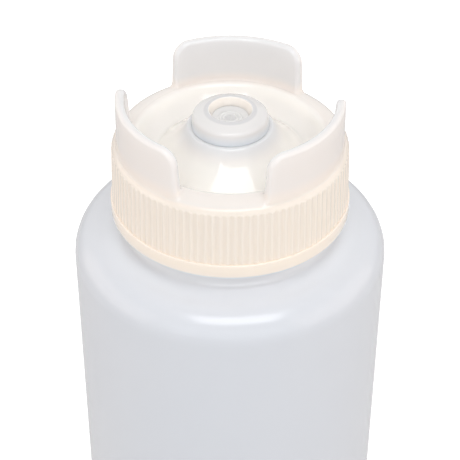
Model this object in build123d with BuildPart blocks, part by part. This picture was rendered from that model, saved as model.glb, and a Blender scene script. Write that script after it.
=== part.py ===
from build123d import *
import math
import os

os.makedirs("parts", exist_ok=True)

# Bottle: straight round barrel, in millimetres and degrees
body_radius = 37.85
body_wall = 1.2
barrel_height = 150.4
shoulder_radius = 7.65
shoulder_slope = 8.0

# Mouth: 53 mm threaded neck under the dispensing cap
neck_radius = 25.0
neck_wall = 1.7
neck_height = 21.2
neck_root_fillet = 2.0

# Foot: 70 mm threaded neck inside the refill cap, drawn in from the barrel by the heel's radius
heel_radius = 4.3
foot_neck_wall = 1.6
foot_gap = 1.0

# Threads of both necks and both caps
thread_pitch = 4.233
thread_turns = 1.5
thread_depth = 1.15
thread_clearance = 0.3
thread_flank = 25.0
neck_ridge_width = 2.2
cap_ridge_width = 1.9
ridge_from_rim = 2.9
ridge_stagger = 2.0
ridge_root = 0.2

# Dispensing cap: skirt and rim
skirt_depth = 17.5
skirt_wall = 1.15
skirt_draft = 0.4
flange_height = 3.3
flange_lip = 0.5
flange_edge_fillet = 0.15
roof_thickness = 1.8
grip_drop = 2.3
rim_flat = 0.7
rim_fillet = 1.5
rim_crown_radius = 7.4
rim_edge_inset = 0.55
rim_edge_fillet = 0.5

# Dispensing cap: recess, dome and spout
recess_depth = 4.7
recess_foot_radius = 17.4
recess_fillet = 0.3
cap_wall = 1.5
plug_clearance = 0.3
plug_wall = 1.1
plug_lip = 1.1
plug_lip_wall = 1.3
dome_base_radius = 15.67
dome_top_radius = 9.3
dome_height = 7.4
dome_fillet = 1.2
dome_edge_fillet = 0.6
spout_radius = 7.4
spout_wall = 2.2
spout_height = 1.7

# Grip ribs
rib_count = 104
rib_width = 1.05
rib_crest = 0.45
rib_proud = 0.3
rib_root = 0.2
foot_rib_count = 120
foot_rib_margin = 1.2

# Standing fins
fin_count = 3
fin_span = 74.6
fin_setback = 1.1
fin_height = 11.2
fin_root = 1.5
fin_root_thickness = 2.8
fin_top_thickness = 2.1
fin_draft = 0.1
fin_corner_radius = 4.2
fin_edge_fillet = 0.9

# Press-fit retainer and its bead
retainer_clearance = 0.1
retainer_gap = 0.3
retainer_wall = 1.57
retainer_draft = 0.32
retainer_edge = 0.65
retainer_edge_fillet = 1.2
retainer_hem_fillet = 0.2
retainer_web = 2.1
retainer_ridge_radius = 6.35
retainer_ridge_drop = 0.35
retainer_hole_radius = 4.15
retainer_hole_draft = 0.9
bead_height = 0.2
bead_half_width = 0.35

# Silicone valve
valve_clearance = 0.15
valve_flange = 0.9
valve_shelf_radius = 4.0
valve_bowl_radius = 2.45
valve_bowl_depth = 0.5
valve_skin = 0.6
valve_sleeve = 1.0
valve_sleeve_wall = 0.8
slit_length = 4.6
slit_width = 0.1

# Gaskets
cap_gasket_thickness = 1.2
foot_gasket_thickness = 1.2
gasket_clearance = 0.15

# Refill cap
foot_cap_height = 17.0
foot_cap_floor = 2.0
foot_cap_wall = 1.8
foot_cap_fillet = 1.5
foot_ring_width = 5.5
foot_ring_inset = 2.6
foot_recess = 0.6

# Heights, from the base upwards
foot_rim = foot_cap_floor + foot_gasket_thickness
heel = foot_cap_height + foot_gap
barrel_base = heel + heel_radius
barrel_top = barrel_base + barrel_height
slope = math.radians(shoulder_slope)
shoulder_end_radius = body_radius - shoulder_radius * (1 - math.sin(slope))
shoulder_end = barrel_top + shoulder_radius * math.cos(slope)
neck_root = shoulder_end + (shoulder_end_radius - neck_radius) * math.tan(slope)
neck_rim = neck_root + neck_height
cap_roof = neck_rim + cap_gasket_thickness
cap_base = cap_roof - skirt_depth
cap_rim = cap_roof + roof_thickness
recess_floor = cap_rim - recess_depth
dome_top = recess_floor + dome_height
spout_top = dome_top + spout_height
valve_top = spout_top + valve_flange
fin_top = cap_rim + fin_height

# Radii that follow from the fits
foot_neck_radius = body_radius - heel_radius
neck_bore = neck_radius - neck_wall
skirt_bore = neck_radius + thread_depth + thread_clearance
grip_top_radius = skirt_bore + skirt_wall
grip_base_radius = grip_top_radius + skirt_draft
flange_radius = grip_base_radius + flange_lip
plug_radius = neck_bore - plug_clearance
foot_neck_bore = foot_neck_radius - foot_neck_wall
foot_cap_bore = foot_neck_radius + thread_depth + thread_clearance
foot_cap_radius = foot_cap_bore + foot_cap_wall
retainer_bore = spout_radius + retainer_clearance

# Helix levels
neck_ridge_start = neck_rim - ridge_from_rim - thread_turns * thread_pitch
foot_ridge_start = foot_rim + ridge_from_rim


def thread_ridge(root_radius, crest_radius, width, start_height, start_angle=0):
    """Right-hand helical ridge with sloped flanks, rooted a little way into the wall."""
    depth = crest_radius - root_radius
    root = -math.copysign(ridge_root, depth)
    crest = width / 2 - abs(depth) * math.tan(math.radians(thread_flank))
    with BuildPart() as ridge:
        with BuildLine() as path:
            Helix(
                pitch=thread_pitch,
                height=thread_pitch * thread_turns,
                radius=root_radius,
                center=(0, 0, start_height),
            )
        with BuildSketch(Plane(origin=path.line @ 0, x_dir=(1, 0, 0), z_dir=(0, -1, 0))):
            Polygon(
                (root, -width / 2),
                (depth, -crest),
                (depth, crest),
                (root, width / 2),
                align=None,
            )
        sweep(path=path.line, is_frenet=True)
    return ridge.part.rotate(Axis.Z, start_angle)


def grip_rib(low_radius, low, high_radius, high):
    """Straight rib with sloped sides up a wall, from a radius and height to another."""
    with BuildPart() as rib:
        for radius, height in ((low_radius, low), (high_radius, high)):
            with BuildSketch(Plane.XY.offset(height)):
                Polygon(
                    (radius - rib_root, -rib_width / 2),
                    (radius, -rib_width / 2),
                    (radius + rib_proud, -rib_crest / 2),
                    (radius + rib_proud, rib_crest / 2),
                    (radius, rib_width / 2),
                    (radius - rib_root, rib_width / 2),
                    align=None,
                )
        loft(ruled=True)
    return rib.part


def corner(section, radius, height):
    """The corner of a half section that lies at a radius and a height."""
    return section.vertices().sort_by_distance((radius, height, 0))[0]


# Bottle body
neck_thread = thread_ridge(neck_radius, neck_radius + thread_depth, neck_ridge_width, neck_ridge_start)
foot_thread = thread_ridge(
    foot_neck_radius, foot_neck_radius + thread_depth, neck_ridge_width, foot_ridge_start
)

with BuildPart() as bottle_body:
    with BuildSketch(Plane.XZ) as outside:
        with BuildLine():
            heel_arc = CenterArc((foot_neck_radius, barrel_base), heel_radius, -90, 90)
            barrel = Line(heel_arc @ 1, (body_radius, barrel_top))
            shoulder_centre = (body_radius - shoulder_radius, barrel_top)
            shoulder = CenterArc(shoulder_centre, shoulder_radius, 0, 90 - shoulder_slope)
            Polyline(
                shoulder @ 1,
                (neck_radius, neck_root),
                (neck_radius, neck_rim),
                (0, neck_rim),
                (0, foot_rim),
                (foot_neck_radius, foot_rim),
                heel_arc @ 0,
            )
        make_face()
        fillet(corner(outside, neck_radius, neck_root), neck_root_fillet)
    revolve(axis=Axis.Z)
    with BuildSketch(Plane.XZ) as hollow:
        with BuildLine():
            inner_heel = CenterArc((foot_neck_radius, barrel_base), heel_radius - body_wall, -90, 90)
            inner_barrel = Line(inner_heel @ 1, (body_radius - body_wall, barrel_top))
            inner_shoulder = CenterArc(
                shoulder_centre, shoulder_radius - body_wall, 0, 90 - shoulder_slope
            )
            slope_start = inner_shoulder @ 1
            slope_end = slope_start.Y + (slope_start.X - neck_bore) * math.tan(slope)
            Polyline(
                slope_start,
                (neck_bore, slope_end),
                (neck_bore, neck_rim),
                (0, neck_rim),
                (0, foot_rim),
                (foot_neck_bore, foot_rim),
                (foot_neck_bore, heel + body_wall),
                inner_heel @ 0,
            )
        make_face()
    revolve(axis=Axis.Z, mode=Mode.SUBTRACT)
    add(neck_thread)
    add(foot_thread)

bottle_body.part.label = "bottle_body"
export_step(bottle_body.part, "parts/bottle_body.step")

# Dispensing cap
cap_thread = thread_ridge(
    skirt_bore,
    neck_radius + thread_clearance,
    cap_ridge_width,
    neck_ridge_start - ridge_stagger - thread_pitch / 4,
    start_angle=-90,
)
grip_top = cap_rim - grip_drop
rim_inner_radius = plug_radius - plug_wall + rim_flat
rim_edge_radius = grip_top_radius - rim_edge_inset
crown_turn = math.degrees(math.asin((rim_edge_radius - rim_inner_radius) / rim_crown_radius))
cap_rib = grip_rib(grip_base_radius, cap_base + flange_height - rib_root, grip_top_radius, grip_top)

with BuildPart() as fin:
    fin_outer_radius = grip_top_radius - fin_setback
    with BuildSketch(Plane.XZ.rotated((0, 0, 90 - fin_span / 2))):
        Polygon(
            (fin_outer_radius, cap_rim - fin_root),
            (fin_outer_radius - fin_draft, fin_top),
            (fin_outer_radius - fin_draft - fin_top_thickness, fin_top),
            (fin_outer_radius - fin_root_thickness, cap_rim - fin_root),
            align=None,
        )
    revolve(axis=Axis.Z, revolution_arc=fin_span)
    upper_corners = fin.edges().filter_by(GeomType.LINE).group_by(Axis.Z)[-1]
    fillet(upper_corners, fin_corner_radius)
    sunk_edges = fin.faces().sort_by(Axis.Z)[0].edges()
    fillet(fin.edges() - sunk_edges, fin_edge_fillet)

with BuildPart() as dispensing_cap:
    dome_run = (dome_base_radius - dome_top_radius) / dome_height
    dome_slant = cap_wall * math.sqrt(1 + dome_run**2)
    inner_dome_base = dome_base_radius + cap_wall * dome_run - dome_slant
    inner_dome_top = dome_top_radius + cap_wall * dome_run - dome_slant
    bead_level = dome_top + retainer_gap + 2 * bead_half_width
    recess_slope = recess_depth / (plug_radius - plug_wall - recess_foot_radius)
    recess_slant = cap_wall * math.sqrt(1 + recess_slope**2)
    inner_recess_foot = recess_foot_radius + (recess_slant - cap_wall) / recess_slope
    plug_bore = plug_radius - plug_lip_wall
    plug_root = recess_floor + (plug_bore - recess_foot_radius) * recess_slope - recess_slant
    plug_end = recess_floor - cap_wall - plug_lip
    with BuildSketch(Plane.XZ) as cap_section:
        with BuildLine():
            crown_centre = (rim_inner_radius, cap_rim - rim_crown_radius)
            rim_crown = CenterArc(crown_centre, rim_crown_radius, 90 - crown_turn, crown_turn)
            Polyline(
                rim_crown @ 1,
                (plug_radius - plug_wall, cap_rim),
                (recess_foot_radius, recess_floor),
                (dome_base_radius, recess_floor),
                (dome_top_radius, dome_top),
                (spout_radius, dome_top),
                (spout_radius, bead_level - bead_half_width),
                (spout_radius + bead_height, bead_level),
                (spout_radius, bead_level + bead_half_width),
                (spout_radius, spout_top),
                (spout_radius - spout_wall, spout_top),
                (spout_radius - spout_wall, dome_top - cap_wall),
                (inner_dome_top, dome_top - cap_wall),
                (inner_dome_base, recess_floor - cap_wall),
                (inner_recess_foot, recess_floor - cap_wall),
                (plug_bore, plug_root),
                (plug_bore, plug_end),
                (plug_radius, plug_end),
                (plug_radius, cap_roof),
                (skirt_bore, cap_roof),
                (skirt_bore, cap_base),
                (flange_radius, cap_base),
                (flange_radius, cap_base + flange_height),
                (grip_base_radius, cap_base + flange_height),
                (grip_top_radius, grip_top),
                rim_crown @ 0,
            )
        make_face()
        fillet(corner(cap_section, rim_edge_radius, (rim_crown @ 0).Y), rim_edge_fillet)
        fillet(corner(cap_section, plug_radius - plug_wall, cap_rim), rim_fillet)
        fillet(corner(cap_section, recess_foot_radius, recess_floor), recess_fillet)
        fillet(corner(cap_section, dome_base_radius, recess_floor), dome_fillet)
        fillet(corner(cap_section, dome_top_radius, dome_top), dome_edge_fillet)
        fillet(corner(cap_section, flange_radius, cap_base), flange_edge_fillet)
        fillet(corner(cap_section, flange_radius, cap_base + flange_height), flange_edge_fillet)
    revolve(axis=Axis.Z)
    add(cap_thread)
    with PolarLocations(0, fin_count):
        add(fin.part)
    with PolarLocations(0, rib_count):
        add(cap_rib)

dispensing_cap.part.label = "dispensing_cap"
export_step(dispensing_cap.part, "parts/dispensing_cap.step")

# Gasket between the neck's rim and the cap's roof
with BuildPart() as cap_gasket:
    with BuildSketch(Plane.XY.offset(neck_rim)):
        Circle(skirt_bore - gasket_clearance)
        Circle(plug_radius + gasket_clearance, mode=Mode.SUBTRACT)
    extrude(amount=cap_gasket_thickness)

cap_gasket.part.label = "cap_gasket"
export_step(cap_gasket.part, "parts/cap_gasket.step")

# Retainer: skirt over the spout, web over the valve's flange, low ridge round the hole
retainer_base = dome_top + retainer_gap
retainer_top = valve_top + retainer_web
retainer_base_radius = retainer_bore + retainer_wall

with BuildPart() as valve_retainer:
    with BuildSketch(Plane.XZ) as retainer_section:
        with BuildLine():
            Polyline(
                (retainer_base_radius, retainer_base),
                (retainer_base_radius - retainer_draft, valve_top + retainer_edge),
                (retainer_ridge_radius, retainer_top - retainer_ridge_drop),
                (retainer_hole_radius + retainer_hole_draft, retainer_top),
                (retainer_hole_radius, valve_top),
                (retainer_bore, valve_top),
                (retainer_bore, bead_level + bead_half_width),
                (retainer_bore + bead_height, bead_level),
                (retainer_bore, bead_level - bead_half_width),
                (retainer_bore, retainer_base),
                close=True,
            )
        make_face()
        side_top = corner(
            retainer_section, retainer_base_radius - retainer_draft, valve_top + retainer_edge
        )
        fillet(side_top, retainer_edge_fillet)
        fillet(corner(retainer_section, retainer_base_radius, retainer_base), retainer_hem_fillet)
        mouth_edge = corner(retainer_section, retainer_hole_radius + retainer_hole_draft, retainer_top)
        fillet(mouth_edge, retainer_hem_fillet)
    revolve(axis=Axis.Z)

valve_retainer.part.label = "valve_retainer"
export_step(valve_retainer.part, "parts/valve_retainer.step")

# Valve: flange on the spout's rim, sleeve in its bore, bowl with crossed slits through its floor
bowl_floor = valve_top - valve_bowl_depth
sleeve_radius = spout_radius - spout_wall - valve_clearance

with BuildPart() as valve:
    with BuildSketch(Plane.XZ):
        with BuildLine():
            Polyline(
                (0, bowl_floor),
                (valve_bowl_radius, bowl_floor),
                (valve_shelf_radius, valve_top),
                (spout_radius - valve_clearance, valve_top),
                (spout_radius - valve_clearance, spout_top),
                (sleeve_radius, spout_top),
                (sleeve_radius, spout_top - valve_sleeve),
                (sleeve_radius - valve_sleeve_wall, spout_top - valve_sleeve),
                (sleeve_radius - valve_sleeve_wall, bowl_floor - valve_skin),
                (0, bowl_floor - valve_skin),
                close=True,
            )
        make_face()
    revolve(axis=Axis.Z)
    with BuildSketch(Plane.XY.offset(bowl_floor)):
        Rectangle(slit_length, slit_width)
        Rectangle(slit_width, slit_length)
    extrude(amount=-valve_skin, mode=Mode.SUBTRACT)

valve.part.label = "valve"
export_step(valve.part, "parts/valve.step")

# Refill cap
foot_cap_thread = thread_ridge(
    foot_cap_bore,
    foot_neck_radius + thread_clearance,
    cap_ridge_width,
    foot_ridge_start + ridge_stagger + thread_pitch / 4,
    start_angle=90,
)
foot_rib = grip_rib(
    foot_cap_radius,
    foot_cap_fillet + foot_rib_margin,
    foot_cap_radius,
    foot_cap_height - foot_rib_margin,
)

with BuildPart() as refill_cap:
    foot_ring_radius = foot_cap_radius - foot_ring_inset
    with BuildSketch(Plane.XZ) as foot_section:
        with BuildLine():
            Polyline(
                (0, foot_recess),
                (foot_ring_radius - foot_ring_width, foot_recess),
                (foot_ring_radius - foot_ring_width + foot_recess, 0),
                (foot_cap_radius, 0),
                (foot_cap_radius, foot_cap_height),
                (foot_cap_bore, foot_cap_height),
                (foot_cap_bore, foot_cap_floor),
                (0, foot_cap_floor),
                close=True,
            )
        make_face()
        fillet(corner(foot_section, foot_cap_radius, 0), foot_cap_fillet)
        fillet(corner(foot_section, foot_cap_radius, foot_cap_height), flange_edge_fillet)
    revolve(axis=Axis.Z)
    add(foot_cap_thread)
    with PolarLocations(0, foot_rib_count):
        add(foot_rib)

refill_cap.part.label = "refill_cap"
export_step(refill_cap.part, "parts/refill_cap.step")

# Gasket between the refill cap's floor and the foot's rim
with BuildPart() as refill_gasket:
    with BuildSketch(Plane.XY.offset(foot_cap_floor)):
        Circle(foot_cap_bore - gasket_clearance)
        Circle(foot_neck_bore - gasket_clearance, mode=Mode.SUBTRACT)
    extrude(amount=foot_gasket_thickness)

refill_gasket.part.label = "refill_gasket"
export_step(refill_gasket.part, "parts/refill_gasket.step")
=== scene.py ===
import math

import bmesh
import bpy
from mathutils import Matrix, Vector


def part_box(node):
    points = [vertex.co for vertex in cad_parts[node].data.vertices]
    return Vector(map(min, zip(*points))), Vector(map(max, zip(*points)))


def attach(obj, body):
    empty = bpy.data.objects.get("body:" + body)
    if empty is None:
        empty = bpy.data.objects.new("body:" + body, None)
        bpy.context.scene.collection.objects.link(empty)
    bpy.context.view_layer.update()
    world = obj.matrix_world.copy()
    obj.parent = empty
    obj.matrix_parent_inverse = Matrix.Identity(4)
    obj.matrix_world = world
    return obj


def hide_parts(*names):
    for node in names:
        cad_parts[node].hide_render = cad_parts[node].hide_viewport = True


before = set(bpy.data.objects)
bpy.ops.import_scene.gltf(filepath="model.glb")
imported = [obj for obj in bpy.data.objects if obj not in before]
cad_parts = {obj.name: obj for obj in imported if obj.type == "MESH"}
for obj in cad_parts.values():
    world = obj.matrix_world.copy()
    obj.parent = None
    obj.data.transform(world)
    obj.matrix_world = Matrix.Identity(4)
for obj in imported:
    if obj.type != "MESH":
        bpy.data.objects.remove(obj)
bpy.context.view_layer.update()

bl_info = {
    "name": "Condiment squeeze bottle",
    "version": (1, 0, 0),
    "blender": (4, 5, 0),
    "location": "View3D > Sidebar > Bottle",
    "description": "Dresses the packed model of a squeeze bottle with a finned valve cap",
    "category": "Add Mesh",
}

MM = 0.001
MERGE = 0.0001 * MM
SAME_ANGLE = 1e-7

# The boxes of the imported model, which place every piece
BOTTLE_LOW, BOTTLE_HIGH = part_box("bottle_body")
CAP_LOW, CAP_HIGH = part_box("dispensing_cap")
RETAINER_LOW, RETAINER_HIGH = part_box("valve_retainer")
VALVE_LOW, VALVE_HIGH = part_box("valve")
REFILL_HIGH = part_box("refill_cap")[1]
FOOT_GASKET_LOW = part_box("refill_gasket")[0]

# Columns of the plain round pieces
BOTTLE_COLUMNS = 256
RETAINER_COLUMNS = 192
VALVE_COLUMNS = 128

# Fillets over the large size show their facets and get the finer steps
LARGE_FILLET = 0.6 * MM
LARGE_STEP = math.radians(13)
SMALL_STEP = math.radians(30)

# Screw threads, alike at the neck and the foot
THREAD_PITCH = 4.233 * MM
THREAD_TURNS = 1.5
THREAD_COLUMNS = 96
THREAD_DEPTH = 1.15 * MM
THREAD_CLEARANCE = 0.3 * MM
THREAD_FLANK = math.radians(25)
THREAD_FADE = math.radians(14)
THREAD_TIP = 0.02
THREAD_ROOT = 0.2 * MM
NECK_RIDGE_WIDTH = 2.2 * MM
CAP_RIDGE_WIDTH = 1.9 * MM
RIDGE_FROM_RIM = 2.9 * MM
RIDGE_STAGGER = 2.0 * MM

# Bead that holds the retainer on the spout
BEAD_HEIGHT = 0.2 * MM
BEAD_HALF = 0.35 * MM

# Part of a grip rib's pitch on each side that its round crest takes
RIB_CREST = 0.13


# Colours

def linear(hex_colour):
    """An sRGB hex colour as the linear, opaque values that a shader socket takes."""
    channels = [int(hex_colour[i:i + 2], 16) / 255 for i in (1, 3, 5)]
    curve = [c / 12.92 if c <= 0.04045 else ((c + 0.055) / 1.055) ** 2.4 for c in channels]
    return (*curve, 1.0)


# Shapes

def arc(centre, radius, start, sweep, steps):
    """Points of a circular arc in the (radius, height) plane, angles in radians."""
    return [
        (
            centre[0] + radius * math.cos(start + sweep * i / steps),
            centre[1] + radius * math.sin(start + sweep * i / steps),
        )
        for i in range(steps + 1)
    ]


def rounded(corners, closed=True):
    """An outline from (radius, height, fillet) corners, with an arc at each corner that has one."""
    outline = []
    count = len(corners)
    for index, (x, y, fillet) in enumerate(corners):
        at_end = not closed and index in (0, count - 1)
        if fillet == 0 or at_end:
            outline.append((x, y))
            continue
        here = Vector((x, y))
        back = (Vector(corners[index - 1][:2]) - here).normalized()
        ahead = (Vector(corners[(index + 1) % count][:2]) - here).normalized()
        half = back.angle(ahead) / 2
        start = here + back * (fillet / math.tan(half))
        centre = here + (back + ahead).normalized() * (fillet / math.sin(half))
        first = math.atan2(start.y - centre.y, start.x - centre.x)
        turn = math.pi - 2 * half
        side = back.x * ahead.y - back.y * ahead.x
        step = LARGE_STEP if fillet > LARGE_FILLET else SMALL_STEP
        steps = max(2, math.ceil(turn / step))
        outline += arc(centre, fillet, first, math.copysign(turn, -side), steps)
    return outline


def bowed(start, end, bend, steps):
    """Inner points of a hollow arc under its chord, which it leaves by the bend at either end."""
    start = Vector(start)
    chord = Vector(end) - start
    along = chord.normalized()
    down = Vector((-along.y, along.x)) if along.x < 0 else Vector((along.y, -along.x))
    radius = chord.length / (2 * math.sin(bend))
    points = []
    for i in range(1, steps):
        turn = bend * (2 * i / steps - 1)
        reach = radius * (math.sin(bend) + math.sin(turn))
        sag = radius * (math.cos(turn) - math.cos(bend))
        points.append((*(start + along * reach + down * sag), 0))
    return points


def even_angles(count):
    """Angles of evenly spaced columns round the axis."""
    return [2 * math.pi * i / count for i in range(count)]


def distinct(angles):
    """The angles brought into one turn, in order and without near doubles."""
    ordered = sorted(angle % (2 * math.pi) for angle in angles)
    return [a for a, b in zip(ordered, ordered[1:] + [math.inf]) if b - a > SAME_ANGLE]


def turned(name, outline, angles, sharp=40):
    """A closed outline turned round the axis; a point may be a function of the angle."""
    columns = [[p(a) if callable(p) else p for p in outline] for a in angles]
    points = [
        (radius * math.cos(a), radius * math.sin(a), height)
        for a, column in zip(angles, columns)
        for radius, height in column
    ]
    rows = len(outline)
    faces = []
    for j in range(len(angles)):
        this = j * rows
        after = (j + 1) % len(angles) * rows
        for i in range(rows):
            up = (i + 1) % rows
            faces.append((this + i, after + i, after + up, this + up))
    return meshed(name, points, faces, sharp)


def meshed(name, points, faces, sharp=40):
    """An object with smooth faces that stay sharp over an angle in degrees."""
    mesh = bpy.data.meshes.new(name)
    mesh.from_pydata(points, [], faces)
    form = bmesh.new()
    form.from_mesh(mesh)
    bmesh.ops.remove_doubles(form, verts=form.verts, dist=MERGE)
    form.to_mesh(mesh)
    form.free()
    mesh.validate()
    mesh.shade_smooth()
    mesh.set_sharp_from_angle(angle=math.radians(sharp))
    piece = bpy.data.objects.new(name, mesh)
    bpy.context.scene.collection.objects.link(piece)
    return piece


def thread_ridge(name, root, crest, width, start_height, start_angle):
    """A right-hand helical ridge with sloped flanks that fades in and out of the wall."""
    depth = crest - root
    sunk = root - math.copysign(THREAD_ROOT, depth)
    half = width / 2
    crest_half = half - abs(depth) * math.tan(THREAD_FLANK)
    # A lower, wider step on each side of the crest takes off its corners
    low = 0.85 * depth
    narrow = 0.85 * crest_half
    wide = 1.12 * crest_half
    whole = 2 * math.pi * THREAD_TURNS
    steps = round(THREAD_TURNS * THREAD_COLUMNS)
    points = []
    for i in range(steps + 1):
        turned_by = whole * i / steps
        from_end = min(turned_by, whole - turned_by)
        fade = math.sin(min(1.0, THREAD_TIP + from_end / THREAD_FADE) * math.pi / 2)
        angle = start_angle + turned_by
        height = start_height + THREAD_PITCH * turned_by / (2 * math.pi)
        section = (
            (sunk, -half),
            (root, -half),
            (root + low * fade, -wide),
            (root + depth * fade, -narrow),
            (root + depth * fade, narrow),
            (root + low * fade, wide),
            (root, half),
            (sunk, half),
        )
        points += [(r * math.cos(angle), r * math.sin(angle), height + z) for r, z in section]
    rows = len(section)
    faces = []
    for i in range(steps):
        this = i * rows
        after = this + rows
        for k in range(rows):
            up = (k + 1) % rows
            faces.append((this + k, after + k, after + up, this + up))
    faces.append(tuple(range(rows)))
    faces.append(tuple(steps * rows + k for k in reversed(range(rows))))
    if depth > 0:
        faces = [tuple(reversed(face)) for face in faces]
    return meshed(name, points, faces)


def settle(piece, body, slot_name, material, *nodes):
    """Puts a finished piece on its body, with its finish and the nodes it stands for."""
    piece.data.materials.clear()
    piece.data.materials.append(material)
    if nodes:
        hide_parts(*nodes)
    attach(piece, body)


def grip_rib(angle, count, width, height):
    """How far a moulded rib stands out at an angle, with a round crest and a soft foot."""
    phase = angle * count / (2 * math.pi)
    across = abs(phase - round(phase)) / width
    if across >= 0.5:
        return 0.0
    share = max(0.0, across - RIB_CREST) / (0.5 - RIB_CREST)
    return height * 0.5 * (1 + math.cos(math.pi * share))


def rib_nose(from_end, length):
    """The share of a rib's height that its round end has reached."""
    share = min(1.0, max(0.0, from_end / length))
    return math.sqrt(max(0.0, 1 - (1 - share) ** 2))


def rib_angles(count):
    """Columns that follow the round crest and the foot of every rib."""
    steps = (-0.5, -0.33, -0.25, -0.17, -0.08, 0.08, 0.17, 0.25, 0.33)
    return [2 * math.pi * (k + step) / count for k in range(count) for step in steps]


# Materials

# Sockets of a colour mix node
FACTOR, FIRST, SECOND = 0, 6, 7
MIXED = 2

# How far a roughness drifts to either side
ROUGHNESS_DRIFT = 0.02

# A map range whose two ends run out softly
SOFT = {"interpolation_type": "SMOOTHSTEP"}


def add_node(tree, kind, inputs=(), **settings):
    """A shader node with its settings; each input takes a value or another node's output."""
    made = tree.nodes.new(kind)
    for name, value in settings.items():
        setattr(made, name, value)
    for socket, value in dict(inputs).items():
        if isinstance(value, bpy.types.NodeSocket):
            tree.links.new(value, made.inputs[socket])
        else:
            made.inputs[socket].default_value = value
    return made


def new_material(name):
    """The emptied material of a name, which both caps share, its tree and the place on a piece."""
    material = bpy.data.materials.get(name) or bpy.data.materials.new(name)
    material.use_nodes = True
    tree = material.node_tree
    tree.nodes.clear()
    return material, tree, add_node(tree, "ShaderNodeTexCoord").outputs["Object"]


def finished(material, kind, inputs):
    """The material, once its last shader is added and sent to the output."""
    shader = add_node(material.node_tree, kind, inputs)
    add_node(material.node_tree, "ShaderNodeOutputMaterial", {"Surface": shader.outputs[0]})
    return material


def from_axis(tree, place):
    """Sockets with a point's distance from the axis and its height."""
    apart = add_node(tree, "ShaderNodeSeparateXYZ", {0: place})
    level = add_node(
        tree, "ShaderNodeCombineXYZ", {"X": apart.outputs["X"], "Y": apart.outputs["Y"]},
    )
    radius = add_node(tree, "ShaderNodeVectorMath", {0: level.outputs[0]}, operation="LENGTH")
    return radius.outputs["Value"], apart.outputs["Z"]


def relief(tree, place, size, detail, strength, depth):
    """Sockets with a fine noise of a size in metres and with the normal that it raises."""
    noise = add_node(
        tree, "ShaderNodeTexNoise", {"Vector": place, "Scale": 1 / size, "Detail": detail},
    ).outputs["Fac"]
    bump = add_node(
        tree, "ShaderNodeBump", {"Strength": strength, "Distance": depth, "Height": noise},
    )
    return noise, bump.outputs[0]


def ldpe(settings):
    """Translucent LDPE: a cool, milky, slightly waxy wall that light sinks into."""
    material, tree, place = new_material("LDPE, blow-moulded, translucent")
    radius, _ = from_axis(tree, place)
    # Wall thickness drifts over about 30 mm in a blown wall
    drift = add_node(
        tree, "ShaderNodeTexNoise", {"Vector": place, "Scale": 1 / (30 * MM), "Detail": 2.0},
    ).outputs["Fac"]
    tint = add_node(
        tree, "ShaderNodeMix",
        {FACTOR: drift, FIRST: settings.wall_colour, SECOND: settings.thick_colour},
        data_type="RGBA",
    )
    # Painted light brightens the slope round the neck, where the cap's flange shades it
    painted_neck_light = add_node(
        tree, "ShaderNodeMapRange",
        {"Value": radius, "From Min": 26.5 * MM, "From Max": 35 * MM, "To Min": 1.0, "To Max": 0.0},
        **SOFT,
    )
    skin = add_node(
        tree, "ShaderNodeMix",
        {FACTOR: painted_neck_light.outputs[0], FIRST: tint.outputs[MIXED], SECOND: settings.painted_slope_light_colour},
        data_type="RGBA",
    )
    # Waxy orange peel of about 0.8 mm left by the blown skin
    _, normal = relief(tree, place, 0.8 * MM, detail=3.0, strength=0.12, depth=0.02 * MM)
    low = settings.bottle_roughness - ROUGHNESS_DRIFT
    high = settings.bottle_roughness + ROUGHNESS_DRIFT
    rough = add_node(
        tree, "ShaderNodeMapRange", {"Value": drift, "To Min": low, "To Max": high},
    )
    return finished(material, "ShaderNodeBsdfPrincipled", {
        "Base Color": skin.outputs[MIXED],
        "Roughness": rough.outputs[0],
        "IOR": 1.51,
        "Specular IOR Level": 0.8,
        "Subsurface Weight": 0.4,
        "Subsurface Radius": (1.0, 1.0, 1.0),
        "Subsurface Scale": 2.0 * MM,
        "Normal": normal,
    })


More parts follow.
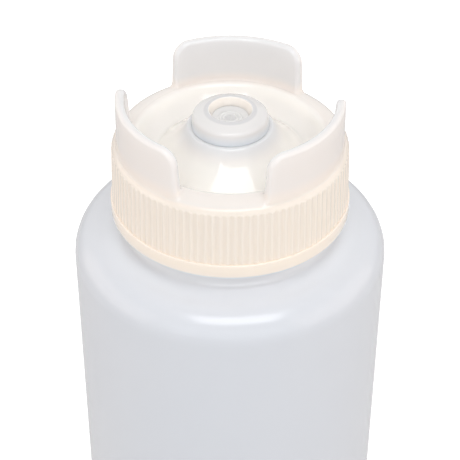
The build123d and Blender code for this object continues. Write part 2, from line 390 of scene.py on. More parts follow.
def natural_pp(settings):
    """Natural polypropylene: milky and glossy, warm in the deep skirt, with painted light in the
    recess and a cool painted shade in the thin fins.
    """
    material, tree, place = new_material("Polypropylene, natural, injection-moulded")
    radius, height = from_axis(tree, place)
    rim = CAP_HIGH.z - settings.fin_height
    # The skirt stands over the filled neck and looks deeper and warmer than the top
    deep = add_node(
        tree, "ShaderNodeMapRange",
        {"Value": radius, "From Min": 26.3 * MM, "From Max": 27.2 * MM},
        **SOFT,
    )
    # Painted shade: the thin fins, which light passes through, are painted a cooler grey towards
    # their tops and lose the warmth of the thicker walls
    thin = add_node(
        tree, "ShaderNodeMapRange",
        {"Value": height, "From Min": rim - 1.2 * MM, "From Max": rim + 3 * MM},
        **SOFT,
    )
    # The painted shade is full on a fin's inner face, which has nothing behind it; its outer face
    # keeps more of the warmth
    inside = add_node(
        tree, "ShaderNodeMapRange",
        {"Value": radius, "From Min": 24.8 * MM, "From Max": 26.2 * MM, "To Min": 1.0, "To Max": 0.5},
    )
    cool = add_node(
        tree, "ShaderNodeMath", {0: thin.outputs[0], 1: inside.outputs[0]}, operation="MULTIPLY",
    )
    # Painted light: the recess and dome inside the rim are painted lighter than the rim, which looks
    # a shade fuller
    outside_recess = add_node(
        tree, "ShaderNodeMapRange",
        {"Value": radius, "From Min": 21.8 * MM, "From Max": 23.2 * MM},
        **SOFT,
    )
    tint = settings.top_painted_light_colour
    for share, colour in (
        (outside_recess, settings.rim_colour),
        (deep, settings.skirt_colour),
        (cool, settings.fin_shade_colour),
    ):
        mixed = {FACTOR: share.outputs[0], FIRST: tint, SECOND: colour}
        tint = add_node(tree, "ShaderNodeMix", mixed, data_type="RGBA").outputs[MIXED]
    # Faint polish marks of the mould, drawn at 0.6 mm, coarser than real ones, so that they show
    grain, normal = relief(tree, place, 0.6 * MM, detail=4.0, strength=0.06, depth=0.01 * MM)
    low = settings.cap_roughness - ROUGHNESS_DRIFT
    high = settings.cap_roughness + ROUGHNESS_DRIFT
    rough = add_node(
        tree, "ShaderNodeMapRange", {"Value": grain, "To Min": low, "To Max": high},
    )
    return finished(material, "ShaderNodeBsdfPrincipled", {
        "Base Color": tint,
        "Roughness": rough.outputs[0],
        "IOR": 1.49,
        "Specular IOR Level": 0.65,
        "Subsurface Weight": 0.7,
        "Subsurface Radius": (1.0, 1.0, 1.0),
        "Subsurface Scale": 2.0 * MM,
        "Normal": normal,
    })


def clear_pp():
    """Clarified polypropylene: a hazy ring with painted light in its warm mouth, painted shade on the
    step round it and a cool painted reflection down its side.
    """
    material, tree, place = new_material("Polypropylene, clarified, injection-moulded")
    radius, height = from_axis(tree, place)
    # Painted light: the mouth's wall is painted pale for the dome seen through it
    mouth = add_node(
        tree, "ShaderNodeMapRange",
        {"Value": radius, "From Min": 5.0 * MM, "From Max": 5.15 * MM},
    )
    # Painted shade: the step round the mouth lies over the empty ring above the valve and is painted
    # darker
    painted_ledge_shade = add_node(
        tree, "ShaderNodeMapRange",
        {"Value": radius, "From Min": 6.0 * MM, "From Max": 6.35 * MM},
    )
    # Painted reflection: down its side the ring is painted a cooler tint
    high = add_node(
        tree, "ShaderNodeMapRange",
        {"Value": height, "From Min": RETAINER_LOW.z, "From Max": RETAINER_LOW.z + 3 * MM},
        **SOFT,
    )
    tint = linear("#E7E5E3")
    for share, colour in ((high, "#E2E8EF"), (painted_ledge_shade, "#D8D7D7"), (mouth, "#F4EDE5")):
        mixed = {FACTOR: share.outputs[0], FIRST: linear(colour), SECOND: tint}
        tint = add_node(tree, "ShaderNodeMix", mixed, data_type="RGBA").outputs[MIXED]
    # Haze drifts over about 2 mm with the flow of the melt
    haze = add_node(
        tree, "ShaderNodeTexNoise", {"Vector": place, "Scale": 1 / (2 * MM), "Detail": 2.0},
    ).outputs["Fac"]
    rough = add_node(
        tree, "ShaderNodeMapRange", {"Value": haze, "To Min": 0.06, "To Max": 0.12},
    )
    return finished(material, "ShaderNodeBsdfPrincipled", {
        "Base Color": tint,
        "Roughness": rough.outputs[0],
        "IOR": 1.49,
        "Specular IOR Level": 0.7,
        "Subsurface Weight": 0.6,
        "Subsurface Radius": (1.0, 1.0, 1.0),
        "Subsurface Scale": 1.2 * MM,
    })


def silicone():
    """Silicone rubber: soft and milky, with a dull sheen and painted shade in the thin middle of the
    bowl.
    """
    material, tree, place = new_material("Silicone rubber, moulded, translucent")
    radius, _ = from_axis(tree, place)
    # Matt mould texture, drawn at 0.15 mm, coarser than the real one
    _, normal = relief(tree, place, 0.15 * MM, detail=2.0, strength=0.2, depth=0.01 * MM)
    # Painted shade: the thin middle of the bowl, which lets more light through, is painted darker
    middle_shade_fade = add_node(
        tree, "ShaderNodeMapRange",
        {"Value": radius, "From Min": 1.2 * MM, "From Max": 1.6 * MM},
    )
    tint = add_node(
        tree, "ShaderNodeMix",
        {FACTOR: middle_shade_fade.outputs[0], FIRST: linear("#DBDAD9"), SECOND: linear("#E6E5E3")},
        data_type="RGBA",
    )
    return finished(material, "ShaderNodeBsdfPrincipled", {
        "Base Color": tint.outputs[MIXED],
        "Roughness": 0.48,
        "IOR": 1.41,
        "Subsurface Weight": 0.8,
        "Subsurface Radius": (1.0, 0.98, 0.95),
        "Subsurface Scale": 1.2 * MM,
        "Normal": normal,
    })


def gasket_rubber():
    """White thermoplastic elastomer: matt, dense and faintly speckled."""
    material, tree, place = new_material("Thermoplastic elastomer, white, moulded")
    # Filler specks of about 0.3 mm
    specks, normal = relief(tree, place, 0.3 * MM, detail=5.0, strength=0.25, depth=0.01 * MM)
    tint = add_node(
        tree, "ShaderNodeMix",
        {FACTOR: specks, FIRST: linear("#E2E1DD"), SECOND: linear("#EFEEEA")},
        data_type="RGBA",
    )
    return finished(material, "ShaderNodeBsdfPrincipled", {
        "Base Color": tint.outputs[MIXED],
        "Roughness": 0.6,
        "Normal": normal,
    })


def studio_paper(glow):
    """Matt white paper: a pale, soft sheet that shows the camera little but the shadow."""
    material, tree, place = new_material("Paper, matt white, rolled")
    rays = add_node(tree, "ShaderNodeLightPath")
    # Paper fibres, drawn at 1 mm, coarser than real ones, and hardly seen
    fibre = add_node(
        tree, "ShaderNodeTexNoise", {"Vector": place, "Scale": 1 / MM, "Detail": 3.0},
    )
    tint = add_node(
        tree, "ShaderNodeMix",
        {FACTOR: fibre.outputs["Fac"], FIRST: linear("#DFDFDF"), SECOND: linear("#E5E5E5")},
        data_type="RGBA",
    )
    paper = add_node(tree, "ShaderNodeBsdfDiffuse", {"Color": tint.outputs[MIXED]})
    shine = add_node(tree, "ShaderNodeEmission", {"Color": linear("#FFFFFF"), "Strength": glow})
    lit = add_node(tree, "ShaderNodeAddShader", {0: paper.outputs[0], 1: shine.outputs[0]})
    # Only the camera sees the glow, so the object is lit by the plain paper
    return finished(material, "ShaderNodeMixShader", {
        0: rays.outputs["Is Camera Ray"],
        1: paper.outputs[0],
        2: lit.outputs[0],
    })


# Settings

LENGTH = {"unit": "LENGTH", "precision": 4}
COLOUR = {"subtype": "COLOR", "size": 4, "min": 0, "max": 1}


class BottleSettings(bpy.types.PropertyGroup):
    wall: bpy.props.FloatProperty(
        name="Wall", description="Thickness of the blown wall", default=1.2 * MM, **LENGTH,
    )
    shoulder_radius: bpy.props.FloatProperty(
        name="Shoulder", description="Radius between the barrel and the sloped shoulder",
        default=7.65 * MM, **LENGTH,
    )
    shoulder_slope: bpy.props.FloatProperty(
        name="Slope", description="Slope of the shoulder towards the neck",
        default=math.radians(8), unit="ROTATION",
    )
    shoulder_end: bpy.props.FloatProperty(
        name="Shoulder height", description="Depth of the neck's root under its rim",
        default=21.2 * MM, **LENGTH,
    )
    neck_radius: bpy.props.FloatProperty(
        name="Neck", description="Outer radius of the threaded neck", default=25.0 * MM, **LENGTH,
    )
    neck_wall: bpy.props.FloatProperty(
        name="Neck wall", description="Thickness of the neck", default=1.7 * MM, **LENGTH,
    )
    heel_radius: bpy.props.FloatProperty(
        name="Heel", description="Radius between the barrel and the foot's neck",
        default=4.3 * MM, **LENGTH,
    )
    foot_wall: bpy.props.FloatProperty(
        name="Foot wall", description="Thickness of the threaded foot", default=1.6 * MM, **LENGTH,
    )
    foot_gap: bpy.props.FloatProperty(
        name="Foot gap", description="Gap between the refill cap and the heel",
        default=1.0 * MM, **LENGTH,
    )
    bottle_roughness: bpy.props.FloatProperty(
        name="Roughness", description="Roughness of the bottle's skin", default=0.19, min=0, max=1,
    )
    wall_colour: bpy.props.FloatVectorProperty(
        name="Wall colour", description="Colour of the blown wall",
        default=linear("#D7DBE1"), **COLOUR,
    )
    thick_colour: bpy.props.FloatVectorProperty(
        name="Thick colour", description="Colour of the wall where it is thicker",
        default=linear("#DADDE2"), **COLOUR,
    )
    # Painted light for the slope round the neck, under the cap's flange
    painted_slope_light_colour: bpy.props.FloatVectorProperty(
        name="Slope colour", description="Colour of the slope where the cap lights it",
        default=linear("#EDF1F6"), **COLOUR,
    )


class CapSettings(bpy.types.PropertyGroup):
    fin_height: bpy.props.FloatProperty(
        name="Fin height", description="Height of the fins over the rim",
        default=11.2 * MM, **LENGTH,
    )
    fin_span: bpy.props.FloatProperty(
        name="Fin span", description="Angle that each fin takes round the rim",
        default=math.radians(75.3), unit="ROTATION",
    )
    fin_count: bpy.props.IntProperty(
        name="Fins", description="Number of standing fins", default=3, min=1,
    )
    rib_count: bpy.props.IntProperty(
        name="Ribs", description="Number of grip ribs on the skirt", default=104, min=3,
    )
    refill_rib_count: bpy.props.IntProperty(
        name="Refill ribs", description="Number of grip ribs on the refill cap", default=120, min=3,
    )
    rib_height: bpy.props.FloatProperty(
        name="Rib height", description="How far the ribs stand out", default=0.18 * MM, **LENGTH,
    )
    recess_depth: bpy.props.FloatProperty(
        name="Recess", description="Depth of the recess under the rim", default=4.9 * MM, **LENGTH,
    )
    dome_height: bpy.props.FloatProperty(
        name="Dome", description="Height of the dome over the rim", default=2.98 * MM, **LENGTH,
    )
    cap_roughness: bpy.props.FloatProperty(
        name="Roughness", description="Roughness of the moulded caps", default=0.06, min=0, max=1,
    )
    skirt_colour: bpy.props.FloatVectorProperty(
        name="Skirt colour", description="Colour of the deep skirt",
        default=linear("#FFECDE"), **COLOUR,
    )
    # Painted light: the recess and dome are painted lighter than the rim
    top_painted_light_colour: bpy.props.FloatVectorProperty(
        name="Top colour", description="Colour of the recess and dome",
        default=linear("#FFF7EF"), **COLOUR,
    )
    rim_colour: bpy.props.FloatVectorProperty(
        name="Rim colour", description="Colour of the flat rim",
        default=linear("#F5ECE4"), **COLOUR,
    )
    # Painted shade: the fins are painted a cool grey where light passes through them
    fin_shade_colour: bpy.props.FloatVectorProperty(
        name="Fin colour", description="Colour of the thin fins",
        default=linear("#E4E4E4"), **COLOUR,
    )


class StageSettings(bpy.types.PropertyGroup):
    softbox: bpy.props.FloatProperty(
        name="Softbox", description="Power of the high frontal softbox in watts",
        default=2.3, min=0,
    )
    elevation: bpy.props.FloatProperty(
        name="Softbox elevation", description="Height angle of the softbox",
        default=math.radians(60), unit="ROTATION",
    )
    swing: bpy.props.FloatProperty(
        name="Softbox swing", description="Turn of the softbox round the axis",
        default=math.radians(12), unit="ROTATION",
    )
    fill: bpy.props.FloatProperty(
        name="Fill", description="Power of each side panel in watts", default=2.4, min=0,
    )
    front: bpy.props.FloatProperty(
        name="Front fill", description="Power of the low front panel in watts", default=1.0, min=0,
    )
    ambient: bpy.props.FloatProperty(
        name="Ambient", description="Strength of the studio's even light", default=0.72, min=0,
    )
    glow: bpy.props.FloatProperty(
        name="Floor glow", description="Light that the floor shows to the camera alone",
        default=0.6, min=0,
    )
    distance: bpy.props.FloatProperty(
        name="Camera distance", description="Level distance of the camera from the axis",
        default=291.8 * MM, unit="LENGTH",
    )
    rise: bpy.props.FloatProperty(
        name="Camera rise", description="Height of the camera over the cap's lower edge",
        default=223.95 * MM, unit="LENGTH",
    )
    azimuth: bpy.props.FloatProperty(
        name="Camera azimuth", description="Turn of the camera round the axis",
        default=math.radians(4.4), unit="ROTATION",
    )
    pitch: bpy.props.FloatProperty(
        name="Camera pitch", description="How far the camera looks down",
        default=math.radians(38.59), unit="ROTATION",
    )
    roll: bpy.props.FloatProperty(
        name="Camera roll", description="Turn of the camera about its own axis",
        default=math.radians(0.19), unit="ROTATION",
    )
    lens: bpy.props.FloatProperty(
        name="Lens", description="Focal length in millimetres on a 36 mm sensor", default=119.85,
    )


# Pieces

class BOTTLE_OT_body(bpy.types.Operator):
    """Blown bottle: straight barrel, round shoulder and two threaded necks"""

    bl_idname = "bottle.body"
    bl_label = "Bottle"

    def execute(self, context):
        size = context.scene.bottle
        barrel = BOTTLE_HIGH.x
        rim = BOTTLE_HIGH.z
        foot = BOTTLE_LOW.z
        root = rim - size.shoulder_end
        slope = math.tan(size.shoulder_slope)
        shoulder_corner = root - (barrel - size.neck_radius) * slope
        foot_neck = barrel - size.heel_radius
        heel = REFILL_HIGH.z + size.foot_gap
        wall = size.wall
        neck_bore = size.neck_radius - size.neck_wall
        foot_bore = foot_neck - size.foot_wall
        inner = barrel - wall
        # The inner slope runs parallel to the outer one, one wall thickness inside it
        slant = wall / math.cos(size.shoulder_slope)
        inner_corner = shoulder_corner + wall * slope - slant
        inner_root = inner_corner + (inner - neck_bore) * slope
        edge = 0.35 * MM
        root_fillet = 2 * MM
        inner_fillet = 1.5 * MM
        outline = rounded([
            (foot_neck, foot, edge),
            (foot_neck, heel, 0),
            (barrel, heel, size.heel_radius),
            (barrel, shoulder_corner, size.shoulder_radius),
            (size.neck_radius, root, root_fillet),
            (size.neck_radius, rim, edge),
            (neck_bore, rim, edge),
            (neck_bore, inner_root, inner_fillet),
            (inner, inner_corner, size.shoulder_radius - wall),
            (inner, heel + wall, size.heel_radius - wall),
            (foot_bore, heel + wall, 0),
            (foot_bore, foot, edge),
        ])
        material = ldpe(size)
        body = turned("bottle_skin", outline, even_angles(BOTTLE_COLUMNS))
        settle(body, "bottle", "bottle", material, "bottle_body")
        neck_start = rim - RIDGE_FROM_RIM - THREAD_TURNS * THREAD_PITCH
        for name, radius, start in (
            ("neck_thread", size.neck_radius, neck_start),
            ("foot_thread", foot_neck, foot + RIDGE_FROM_RIM),
        ):
            ridge = thread_ridge(name, radius, radius + THREAD_DEPTH, NECK_RIDGE_WIDTH, start, 0)
            settle(ridge, "bottle", "bottle", material)
        return {"FINISHED"}


class BOTTLE_OT_cap(bpy.types.Operator):
    """Dispensing cap: ribbed skirt, plain flange, recess, hollow dome and standing fins"""

    bl_idname = "bottle.cap"
    bl_label = "Dispensing cap"

    def execute(self, context):
        size = context.scene.bottle_cap
        neck = context.scene.bottle
        base = CAP_LOW.z
        fin_top = CAP_HIGH.z
        rim = fin_top - size.fin_height
        flange = CAP_HIGH.x
        flange_top = base + 3.3 * MM
        low_edge = 0.2 * MM
        grip_base = flange - 0.5 * MM
        grip_top = grip_base - 0.4 * MM
        rib_share = 0.66
        nose_length = 0.45 * MM
        nose_steps = 5
        bore = grip_top - 1.15 * MM
        wall_top = rim - 2.3 * MM
        roof = rim - 1.8 * MM
        plug = neck.neck_radius - neck.neck_wall - 0.3 * MM
        plug_bore = plug - 1.3 * MM
        recess = plug - 0.85 * MM
        recess_foot = 17.5 * MM
        flat_start = recess + 0.93 * MM
        floor = rim - size.recess_depth
        dome_top = rim + size.dome_height
        dome_base = 15.67 * MM
        dome_crown = 9.9 * MM
        spout = 7.4 * MM
        spout_bore = spout - 2.2 * MM
        spout_top = dome_top + 1.42 * MM
        bead = dome_top + 0.72 * MM
        wall = 1.5 * MM
        # The inner faces run one wall thickness inside the slanted outer ones
        run = (dome_base - dome_crown) / (dome_top - floor)
        slant = wall * math.sqrt(1 + run * run) - wall * run
        recess_slope = size.recess_depth / (recess - recess_foot)
        recess_slant = wall * math.sqrt(1 + recess_slope**2)
        inner_foot = recess_foot + (recess_slant - wall) / recess_slope
        plug_root = floor + (plug_bore - recess_foot) * recess_slope - recess_slant
        plug_end = floor - wall - 1.1 * MM

        # Radius of the rim's crowned edge, where it starts and where it ends
        crown = 7.4 * MM
        crown_start = recess + 0.5 * MM
        rim_edge = grip_top - 0.55 * MM
        rim_fillet = 1.3 * MM

        fin_outer = grip_top - 1.1 * MM
        fin_middle = fin_outer - 1.3 * MM
        fin_thickness = 2.8 * MM
        fin_root = rim - 1.5 * MM
        outer_draft = 0.1 * MM
        inner_draft = 0.6 * MM
        # The flare at a fin's foot is narrower than it is high, above all on the outside
        flare = 1.1 * MM
        narrow = 0.25 * MM / flare
        broad = 0.6
        edge = 0.85 * MM
        corner = 4.2 * MM
        lean = 0.3 * MM
        half_span = size.fin_span / 2
        spacing = 2 * math.pi / size.fin_count

        def into_fin(angle):
            """Arc length from the nearest fin's end, positive inside the fin."""
            turn = (angle - math.pi / 2) / spacing
            return (half_span - abs(turn - round(turn)) * spacing) * fin_middle

        def ground(radius):
            """Height of the cap's crowned rim without its fins."""
            over = max(0.0, radius - crown_start)
            return rim - crown + math.sqrt(crown**2 - over**2)

        def rise(out, past):
            """Height of the flare; both distances start at the round corner's centre."""
            reach = math.hypot(max(0.0, out), max(0.0, past)) - edge
            if reach >= flare:
                return 0.0
            return flare - math.sqrt(flare**2 - (flare - max(0.0, reach)) ** 2)

        def fin_face(side, height, depth):
            """Radius of the fin's face, drawn in within an edge radius of its outline."""
            up = (height - fin_root) / (fin_top - fin_root)
            face = fin_outer - outer_draft * up
            if side < 0:
                face = fin_outer - fin_thickness + inner_draft * up
            bite = edge - min(depth, edge)
            return face - side * (edge - math.sqrt(max(0.0, edge**2 - bite**2)))

        def crest(depth, along, base):
            """Height at which the fin's outline is a given depth away, at a place along it."""
            if along >= lean + corner:
                return fin_top - depth
            if along >= lean + depth:
                reach = (corner - depth) ** 2 - (corner + lean - along) ** 2
                return fin_top - corner + math.sqrt(max(0.0, reach))
            return base + (fin_top - corner - base) * (along - depth) / lean

        # Each fin row is a side (+1 outside, -1 inside) and a step of flare, face or edge
        flare_steps = 4
        face_steps = 3
        edge_steps = 5

        def fin_point(side, part, step):
            """A fin row's (radius, height) as a function of the angle."""
            def at(angle):
                along = into_fin(angle)
                if part == "flare" or along < 0:
                    return flare_point(side, step if part == "flare" else flare_steps, edge - along)
                base = ground(fin_face(side, rim, along)) + flare
                bend = min(edge, max(0.0, along - lean))
                if part == "face":
                    height = base + (crest(bend, along, base) - base) * step / face_steps
                    share = min(1.0, (height - base) / (fin_top - corner - base))
                    return fin_face(side, height, along - lean * share), height
                depth = bend * (1 - math.sin(math.pi / 2 * step / edge_steps))
                height = crest(depth, along, base)
                return fin_face(side, height, depth), height
            return at

        def flare_point(side, step, past):
            """A row of the flare, which runs round the fin's end and is narrower outside."""
            reach = edge + flare * (1 - math.sin(math.pi / 2 * step / flare_steps))
            near = math.sqrt(max(0.0, reach**2 - max(0.0, past) ** 2))
            even = (edge + flare) * (1 - step / flare_steps)
            out = near + (even - near) * min(1.0, max(0.0, (past - edge) / flare))
            beyond = max(0.0, out - edge) * (narrow if side > 0 else broad)
            radius = fin_face(side, rim, edge) + side * (min(0.0, out - edge) + beyond)
            return radius, ground(radius) + rise(out, past)

        def skirt_point(height):
            """A row of the ribbed wall at a height, as a function of the angle."""
            share = (height - flange_top) / (wall_top - flange_top)
            wall_radius = grip_base + (grip_top - grip_base) * share
            fade = rib_nose(wall_top - height, nose_length)
            return lambda angle: (
                wall_radius + fade * grip_rib(angle, size.rib_count, rib_share, size.rib_height),
                height,
            )

        band = rounded([
            (bore, base, low_edge),
            (flange, base, 0.12 * MM),
            (flange, flange_top, 0.19 * MM),
            (grip_base, flange_top, 0),
        ], closed=False)[:-1]
        levels = (0, 0.02, 0.5, 0.955)
        heights = [flange_top + (wall_top - flange_top) * level for level in levels]
        heights += [wall_top - nose_length * (1 - k / nose_steps) for k in range(1, nose_steps + 1)]
        skirt = [skirt_point(height) for height in heights]
        # A close row over the rib tops keeps their shading local
        skirt.append((grip_top, wall_top + 0.04 * MM))
        flare_foot = fin_outer + flare * narrow
        roll = rounded([
            (grip_top, wall_top, 0),
            (rim_edge, ground(rim_edge), rim_fillet),
            (flare_foot, ground(flare_foot), 0),
        ], closed=False)[1:-1]
        rows = [("flare", k) for k in range(flare_steps + 1)]
        rows += [("face", k) for k in range(1, face_steps)]
        rows += [("edge", k) for k in range(edge_steps + 1)]
        fins = [fin_point(1, part, step) for part, step in rows]
        fins += [fin_point(-1, part, step) for part, step in reversed(rows)]
        # The bowl's first points would lie in the fillet over it
        bowl = bowed((recess, rim), (recess_foot, floor), math.radians(13), 10)[2:]
        dome = bowed((recess_foot, floor), (dome_crown, dome_top), math.radians(10), 10)
        top = rounded([
            (flat_start, rim, 0),
            (recess, rim, 1.6 * MM),
            *bowl,
            (recess_foot, floor, 0.6 * MM),
            *dome,
            (dome_crown, dome_top, 0.5 * MM),
            (spout, dome_top, 0.15 * MM),
            (spout, bead - BEAD_HALF, 0),
            (spout + BEAD_HEIGHT, bead, 0),
            (spout, bead + BEAD_HALF, 0),
            (spout, spout_top, 0.15 * MM),
            (spout_bore, spout_top, 0.15 * MM),
            (spout_bore, dome_top - wall, 0.3 * MM),
            (dome_crown - slant, dome_top - wall, 0.5 * MM),
            (dome_base - slant, floor - wall, 1.0 * MM),
            (inner_foot, floor - wall, 0.4 * MM),
            (plug_bore, plug_root, 0.3 * MM),
            (plug_bore, plug_end, 0.2 * MM),
            (plug, plug_end, 0.3 * MM),
            (plug, roof, 0.3 * MM),
            (bore, roof, 0.5 * MM),
            (bore, base + low_edge, 0),
        ], closed=False)[:-1]

        # Columns round each end of a fin, in millimetres past it
        end_columns = (
            -4.5, -4.15, -3.75, -3.3, -2.85, -2.45, -2.05, -1.7, -1.4, -1.2, -1.05, -0.9, -0.75,
            -0.6, -0.48, -0.39, -0.33, -0.3, -0.2, -0.1, 0.0, 0.08, 0.18, 0.3, 0.44, 0.6, 0.78,
            0.95, 1.1,
        )
        angles = rib_angles(size.rib_count)
        for number in range(size.fin_count):
            middle = math.pi / 2 + number * spacing
            for side in (-1, 1):
                angles += [
                    middle + side * (half_span + column * MM / fin_middle) for column in end_columns
                ]

        material = natural_pp(size)
        outline = band + skirt + roll + fins + top
        cap = turned("finned_cap", outline, distinct(angles), sharp=50)
        settle(cap, "cap", "cap", material, "dispensing_cap")
        neck_start = BOTTLE_HIGH.z - RIDGE_FROM_RIM - THREAD_TURNS * THREAD_PITCH
        ridge = thread_ridge(
            "cap_thread", bore, neck.neck_radius + THREAD_CLEARANCE, CAP_RIDGE_WIDTH,
            neck_start - RIDGE_STAGGER - THREAD_PITCH / 4, -math.pi / 2,
        )
        settle(ridge, "cap", "cap", material)
        return {"FINISHED"}


class BOTTLE_OT_retainer(bpy.types.Operator):
    """Clear ring that holds the valve on the spout"""

    bl_idname = "bottle.retainer"
    bl_label = "Valve retainer"

    def execute(self, context):
        base = RETAINER_LOW.z
        top = RETAINER_HIGH.z
        outer = RETAINER_HIGH.x
        web = VALVE_HIGH.z
        draft = 0.32 * MM
        side_top = web + 0.65 * MM
        ridge = 6.35 * MM
        ridge_top = top - 0.35 * MM
        bore = 7.5 * MM
        hole = 4.15 * MM
        mouth = hole + 0.9 * MM
        bead = base + 0.7 * MM
        outline = rounded([
            (outer, base, 0.06 * MM),
            (outer - draft, side_top, 1.2 * MM),
            (ridge, ridge_top, 0.25 * MM),
            (mouth, top, 0.2 * MM),
            (hole, web, 0.1 * MM),
            (bore, web, 0.1 * MM),
            (bore, bead + BEAD_HALF, 0),
            (bore + BEAD_HEIGHT, bead, 0),
            (bore, bead - BEAD_HALF, 0),
            (bore, base, 0.15 * MM),
        ])
        ring = turned("clear_retainer", outline, even_angles(RETAINER_COLUMNS))
        settle(ring, "cap", "retainer", clear_pp(), "valve_retainer")
        return {"FINISHED"}


class BOTTLE_OT_valve(bpy.types.Operator):
    """Silicone valve: flange, sleeve and a bowl with two rings and crossed slits"""

    bl_idname = "bottle.valve"
    bl_label = "Valve"

    def execute(self, context):
        top = VALVE_HIGH.z
        low = VALVE_LOW.z
        flange = VALVE_HIGH.x
        flange_base = top - 0.9 * MM
        shelf = 4.0 * MM
        bowl = 2.45 * MM
        floor = top - 0.5 * MM
        skin_base = floor - 0.6 * MM
        sleeve = 5.05 * MM
        sleeve_bore = sleeve - 0.8 * MM
        # The inner ring, the ring on the bowl's edge, the dip in the middle and the slits
        ring = 1.5 * MM
        ring_height = 0.2 * MM
        ring_width = 0.18 * MM
        edge_height = 0.26 * MM
        edge_width = 0.2 * MM
        dip = 0.06 * MM
        slit = 1.2 * MM
        slit_depth = 0.08 * MM
        slit_width = 0.06 * MM
        # The outline ends just short of the axis
        tip = 0.003

        def lip(share):
            """A row of the bowl's floor at a share of its radius."""
            radius = bowl * share

            def at(angle):
                across = min(abs(math.sin(angle)), abs(math.cos(angle))) * radius
                height = floor + ring_height * math.exp(-((radius - ring) / ring_width) ** 2)
                height += edge_height * math.exp(-((radius - bowl) / edge_width) ** 2)
                height -= dip * max(0.0, 1 - radius / ring)
                if radius <= slit:
                    height -= slit_depth * math.exp(-((across / slit_width) ** 2))
                return radius, height
            return at

        shares = (
            tip, 0.04, 0.08, 0.13, 0.2, 0.3, 0.4, 0.46, 0.5, 0.54, 0.58, 0.61, 0.64, 0.68, 0.72,
            0.77, 0.82, 0.87, 0.91, 0.95, 0.98, 1.0, 1.03, 1.07, 1.12, 1.18,
        )
        face = [lip(share) for share in shares]
        rest = rounded([
            (bowl * 1.25, floor + 0.02 * MM, 0),
            (shelf, top, 0.3 * MM),
            (flange, top, 0.15 * MM),
            (flange, flange_base, 0.1 * MM),
            (sleeve, flange_base, 0.1 * MM),
            (sleeve, low, 0.1 * MM),
            (sleeve_bore, low, 0.1 * MM),
            (sleeve_bore, skin_base, 0.1 * MM),
            (bowl * tip, skin_base, 0),
        ], closed=False)
        # Close columns along both sides of every slit
        angles = even_angles(VALVE_COLUMNS)
        for quarter in range(4):
            for step in (0.015, 0.03, 0.05, 0.08, 0.11):
                angles += [quarter * math.pi / 2 - step, quarter * math.pi / 2 + step]
        valve = turned("silicone_valve", face + rest, distinct(angles))
        settle(valve, "cap", "silicone", silicone(), "valve")
        return {"FINISHED"}


class BOTTLE_OT_refill_cap(bpy.types.Operator):
    """Ribbed refill cap that closes the foot and carries the bottle"""

    bl_idname = "bottle.refill_cap"
    bl_label = "Refill cap"

    def execute(self, context):
        size = context.scene.bottle_cap
        outer = REFILL_HIGH.x - size.rib_height
        top = REFILL_HIGH.z
        bore = outer - 1.8 * MM
        floor = FOOT_GASKET_LOW.z
        round_foot = 1.5 * MM
        recess = 0.6 * MM
        ring_inner = outer - 8.1 * MM
        rib_low = round_foot + 1.2 * MM
        rib_high = top - 1.2 * MM
        rib_share = 0.62
        nose_length = 0.5 * MM
        nose_steps = 6
        # The outline ends at a pinhole on the axis
        pinhole = 0.3 * MM

        def wall_point(height):
            """A row of the ribbed wall; the ribs end in round noses."""
            fade = rib_nose(min(height - rib_low, rib_high - height), nose_length)
            return lambda angle: (
                outer + fade * grip_rib(angle, size.refill_rib_count, rib_share, size.rib_height),
                height,
            )

        foot_edge = rounded([
            (ring_inner + recess, 0, 0.3 * MM),
            (outer, 0, round_foot),
            (outer, top, 0),
        ], closed=False)[:-1]
        noses = [nose_length * k / nose_steps for k in range(nose_steps + 1)]
        heights = [rib_low + nose for nose in noses] + [(rib_low + rib_high) / 2]
        heights += [rib_high - nose for nose in reversed(noses)]
        upper = rounded([
            (outer, rib_high + 0.1 * MM, 0),
            (outer, top, 0.35 * MM),
            (bore, top, 0.3 * MM),
            (bore, floor, 0.5 * MM),
            (pinhole, floor, 0),
            (pinhole, recess, 0),
            (ring_inner, recess, 0.2 * MM),
            (ring_inner + recess, 0, 0),
        ], closed=False)[:-1]
        outline = foot_edge + [wall_point(height) for height in heights] + upper
        material = natural_pp(size)
        angles = distinct(rib_angles(size.refill_rib_count))
        cap = turned("ribbed_refill_cap", outline, angles, sharp=50)
        settle(cap, "refill", "cap", material, "refill_cap")
        ridge = thread_ridge(
            "refill_thread", bore, bore - THREAD_DEPTH, CAP_RIDGE_WIDTH,
            BOTTLE_LOW.z + RIDGE_FROM_RIM + RIDGE_STAGGER + THREAD_PITCH / 4, math.pi / 2,
        )
        settle(ridge, "refill", "cap", material)
        return {"FINISHED"}


class BOTTLE_OT_gaskets(bpy.types.Operator):
    """Soft rings under both caps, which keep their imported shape"""

    bl_idname = "bottle.gaskets"
    bl_label = "Gaskets"

    def execute(self, context):
        material = gasket_rubber()
        for name in ("cap_gasket", "refill_gasket"):
            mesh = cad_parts[name].data
            mesh.materials.clear()
            mesh.materials.append(material)
        return {"FINISHED"}


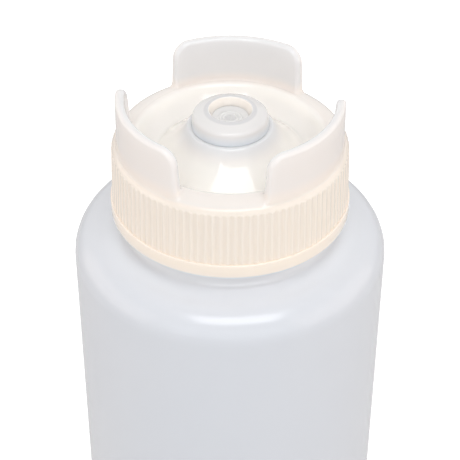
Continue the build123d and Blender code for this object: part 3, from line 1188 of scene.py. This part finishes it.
class BOTTLE_OT_stage(bpy.types.Operator):
    """White studio with a pale floor, a high softbox, three low fill panels, and the camera"""

    bl_idname = "bottle.stage"
    bl_label = "Studio"

    def panel(self, name, offset, width, height, power, colour):
        """A rectangular lamp that faces the middle of the cap's lower edge."""
        lamp = bpy.data.lights.new(name, "AREA")
        lamp.color = linear(colour)[:3]
        lamp.shape = "RECTANGLE"
        lamp.size = width
        lamp.size_y = height
        lamp.energy = power
        box = bpy.data.objects.new(name, lamp)
        box.location = Vector((0, 0, CAP_LOW.z)) + offset
        box.rotation_euler = (-offset).to_track_quat("-Z", "Y").to_euler()
        bpy.context.scene.collection.objects.link(box)

    def even_light(self, strength):
        """A world that is white where it is seen or mirrored, and lights with a given strength."""
        world = bpy.data.worlds.new("White studio")
        world.use_nodes = True
        tree = world.node_tree
        tree.nodes.clear()
        rays = add_node(tree, "ShaderNodeLightPath")
        direct = add_node(
            tree, "ShaderNodeMath",
            {0: rays.outputs["Is Camera Ray"], 1: rays.outputs["Is Transmission Ray"]},
            operation="MAXIMUM",
        )
        seen = add_node(
            tree, "ShaderNodeMath",
            {0: direct.outputs[0], 1: rays.outputs["Is Glossy Ray"]},
            operation="MAXIMUM",
        )
        level = add_node(
            tree, "ShaderNodeMapRange",
            {"Value": seen.outputs[0], "To Min": strength, "To Max": 1.0},
        )
        light = add_node(
            tree, "ShaderNodeBackground",
            {"Color": linear("#FFFFFF"), "Strength": level.outputs[0]},
        )
        add_node(tree, "ShaderNodeOutputWorld", {"Surface": light.outputs[0]})
        return world

    def execute(self, context):
        stage = context.scene.bottle_stage
        scene = context.scene
        scene.view_settings.view_transform = "Standard"
        scene.world = self.even_light(stage.ambient)

        half = 2.5
        corners = [(-half, -half, 0), (half, -half, 0), (half, half, 0), (-half, half, 0)]
        floor = meshed("studio_floor", corners, [(0, 1, 2, 3)])
        floor.data.materials.append(studio_paper(stage.glow))

        reach = 0.8
        high = reach * Vector((0, -math.cos(stage.elevation), math.sin(stage.elevation)))
        high.rotate(Matrix.Rotation(stage.swing, 3, "Z"))
        self.panel(
            "softbox", high, width=0.66, height=0.37, power=stage.softbox, colour="#F8FAFF",
        )
        self.panel(
            "fill_front", Vector((0, -1, 0.15)),
            width=1.6, height=0.8, power=stage.front, colour="#F6F9FF",
        )
        for name, side in (("fill_left", -1), ("fill_right", 1)):
            self.panel(
                name, Vector((side, -0.1, 0.1)),
                width=1.4, height=1.0, power=stage.fill, colour="#FFE9DB",
            )

        camera = bpy.data.cameras.new("photo_camera")
        camera.lens = stage.lens
        camera.sensor_width = 36
        eye = bpy.data.objects.new("photo_camera", camera)
        place = Matrix.Translation((
            stage.distance * math.sin(stage.azimuth),
            -stage.distance * math.cos(stage.azimuth),
            CAP_LOW.z + stage.rise,
        ))
        turn = Matrix.Rotation(stage.azimuth, 4, "Z")
        tilt = Matrix.Rotation(math.pi / 2 - stage.pitch, 4, "X")
        eye.matrix_world = place @ turn @ tilt @ Matrix.Rotation(stage.roll, 4, "Z")
        scene.collection.objects.link(eye)
        scene.camera = eye
        return {"FINISHED"}


class BOTTLE_PT_panel(bpy.types.Panel):
    """Sidebar list of the bottle's pieces and settings"""

    bl_idname = "BOTTLE_PT_panel"
    bl_label = "Squeeze bottle"
    bl_space_type = "VIEW_3D"
    bl_region_type = "UI"
    bl_category = "Bottle"

    def draw(self, context):
        for operator in PIECES:
            self.layout.operator(operator.bl_idname)
        for group in (context.scene.bottle, context.scene.bottle_cap, context.scene.bottle_stage):
            column = self.layout.column(align=True)
            for name in group.__annotations__:
                column.prop(group, name)


PIECES = (
    BOTTLE_OT_body,
    BOTTLE_OT_cap,
    BOTTLE_OT_retainer,
    BOTTLE_OT_valve,
    BOTTLE_OT_refill_cap,
    BOTTLE_OT_gaskets,
    BOTTLE_OT_stage,
)
CLASSES = (BottleSettings, CapSettings, StageSettings, *PIECES, BOTTLE_PT_panel)


def register():
    for item in CLASSES:
        bpy.utils.register_class(item)
    bpy.types.Scene.bottle = bpy.props.PointerProperty(type=BottleSettings)
    bpy.types.Scene.bottle_cap = bpy.props.PointerProperty(type=CapSettings)
    bpy.types.Scene.bottle_stage = bpy.props.PointerProperty(type=StageSettings)


def unregister():
    del bpy.types.Scene.bottle_stage
    del bpy.types.Scene.bottle_cap
    del bpy.types.Scene.bottle
    for item in reversed(CLASSES):
        bpy.utils.unregister_class(item)


def main():
    """Builds every piece and the studio."""
    register()
    bpy.ops.bottle.body()
    bpy.ops.bottle.cap()
    bpy.ops.bottle.retainer()
    bpy.ops.bottle.valve()
    bpy.ops.bottle.refill_cap()
    bpy.ops.bottle.gaskets()
    bpy.ops.bottle.stage()


if __name__ == "__main__":
    main()
